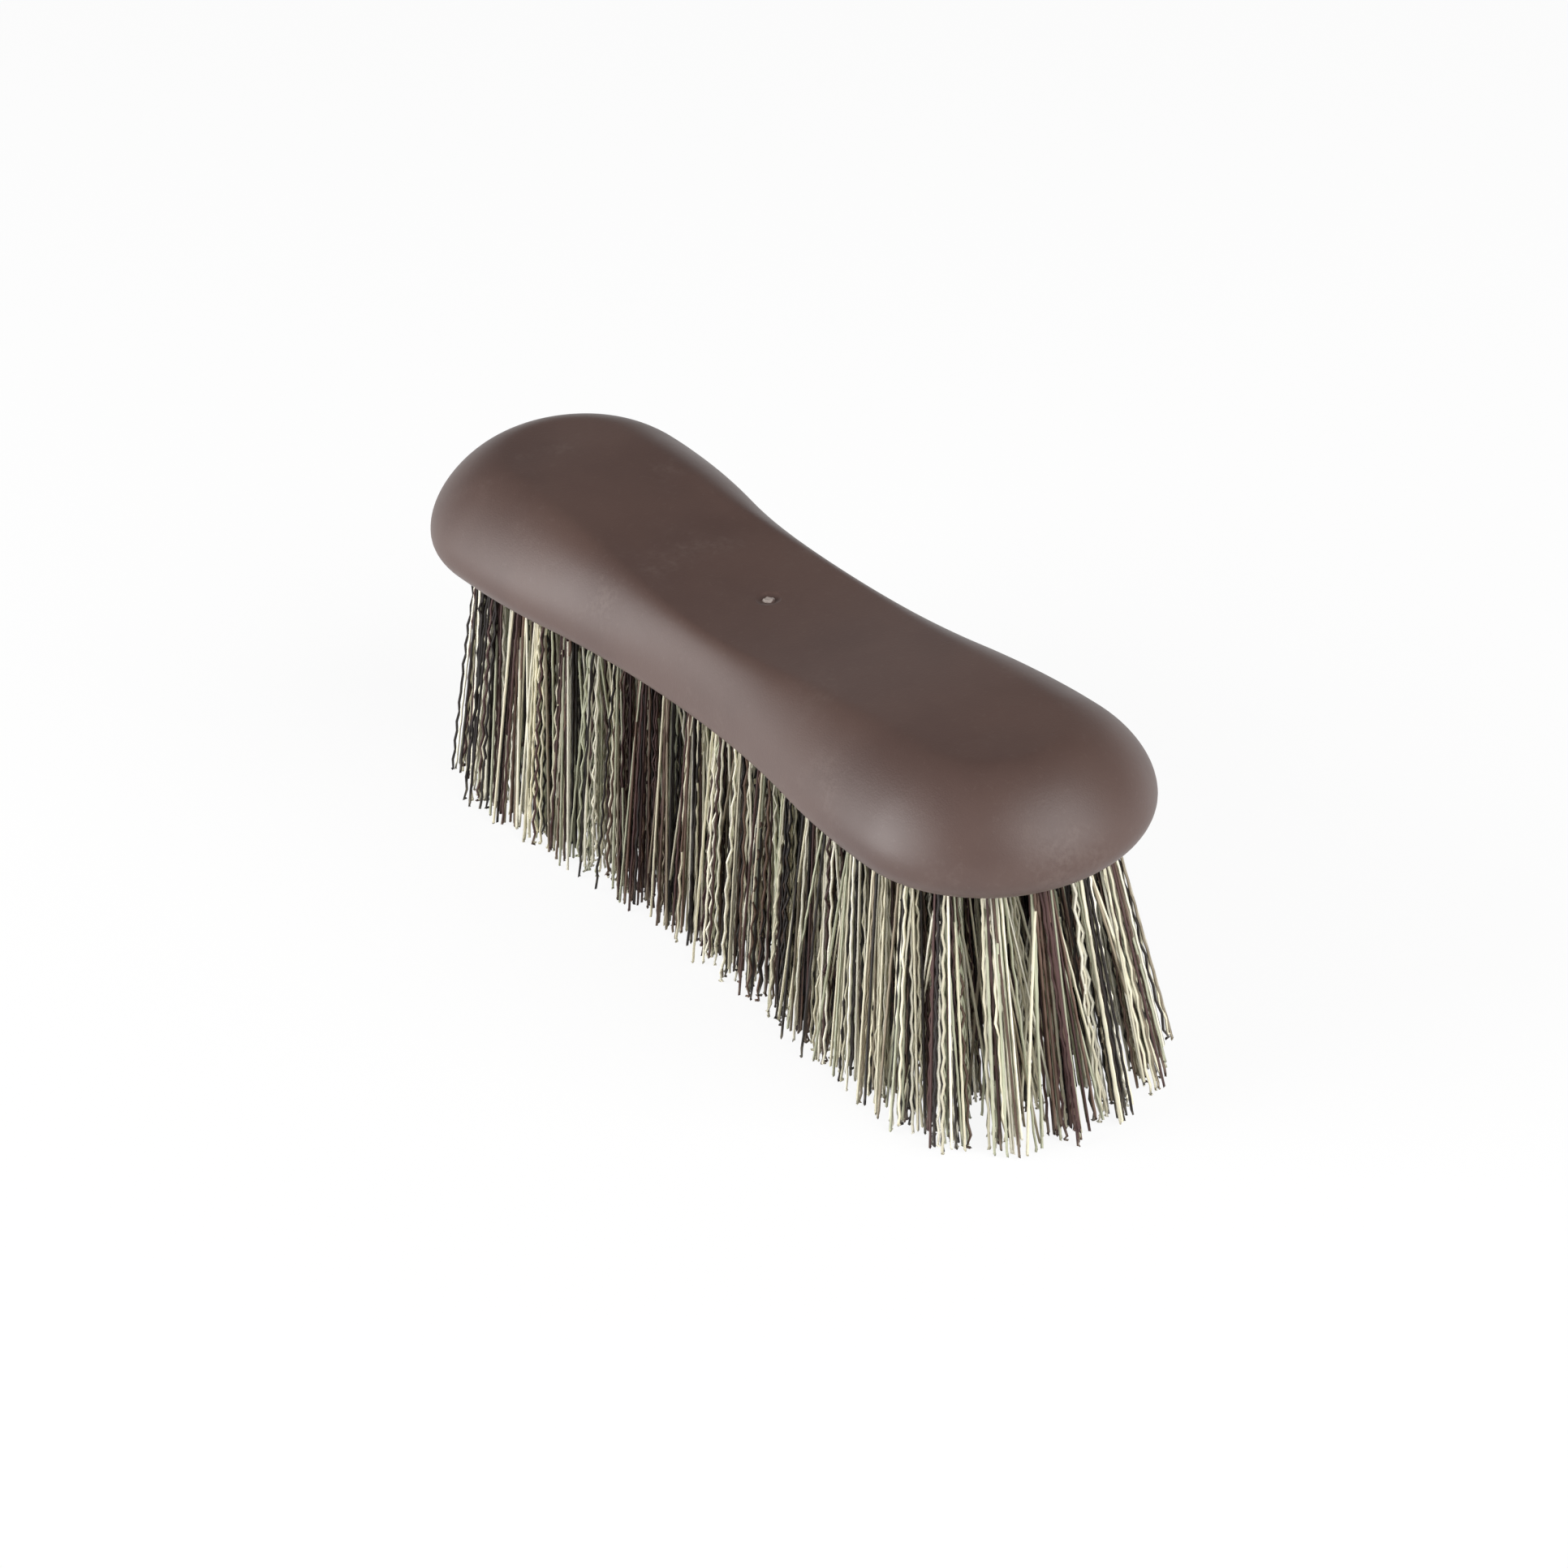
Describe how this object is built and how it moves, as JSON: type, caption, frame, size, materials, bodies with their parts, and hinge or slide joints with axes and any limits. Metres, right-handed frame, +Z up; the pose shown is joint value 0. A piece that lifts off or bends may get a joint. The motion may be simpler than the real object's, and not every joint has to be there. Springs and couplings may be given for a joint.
{
  "type": "dandy brush",
  "caption": "Horse grooming brush: waisted soft-touch back over a bored block, with anchored tufts of long crimped bristle.",
  "frame": {"origin": "on the surface that the bristle tips stand on, midway along and across the brush", "axes": "+X along the brush, +Y across it, +Z up from the bristle tips to the back"},
  "size_m": [0.205, 0.06, 0.0759],
  "materials": {
    "soft_grip": "matt soft-touch, brown",
    "block": "moulded, dark brown",
    "bristle": "crimped filament, mixed cream, sage, taupe and aubergine",
    "anchor_wire": "drawn flat wire"
  },
  "bodies": {
    "root": {"grip_skin": "soft_grip", "tuft_block": "block", "tuft_anchors": "anchor_wire", "tuft_row_01": "bristle", "tuft_row_02": "bristle", "tuft_row_03": "bristle", "tuft_row_04": "bristle", "tuft_row_05": "bristle", "tuft_row_06": "bristle", "tuft_row_07": "bristle", "tuft_row_08": "bristle", "tuft_row_09": "bristle", "tuft_row_10": "bristle", "tuft_row_11": "bristle", "tuft_row_12": "bristle", "tuft_row_13": "bristle", "tuft_row_14": "bristle", "tuft_row_15": "bristle", "tuft_row_16": "bristle", "tuft_row_17": "bristle", "tuft_row_18": "bristle", "end_tufts_left": "bristle", "end_tufts_right": "bristle"}
  },
  "joints": []
}
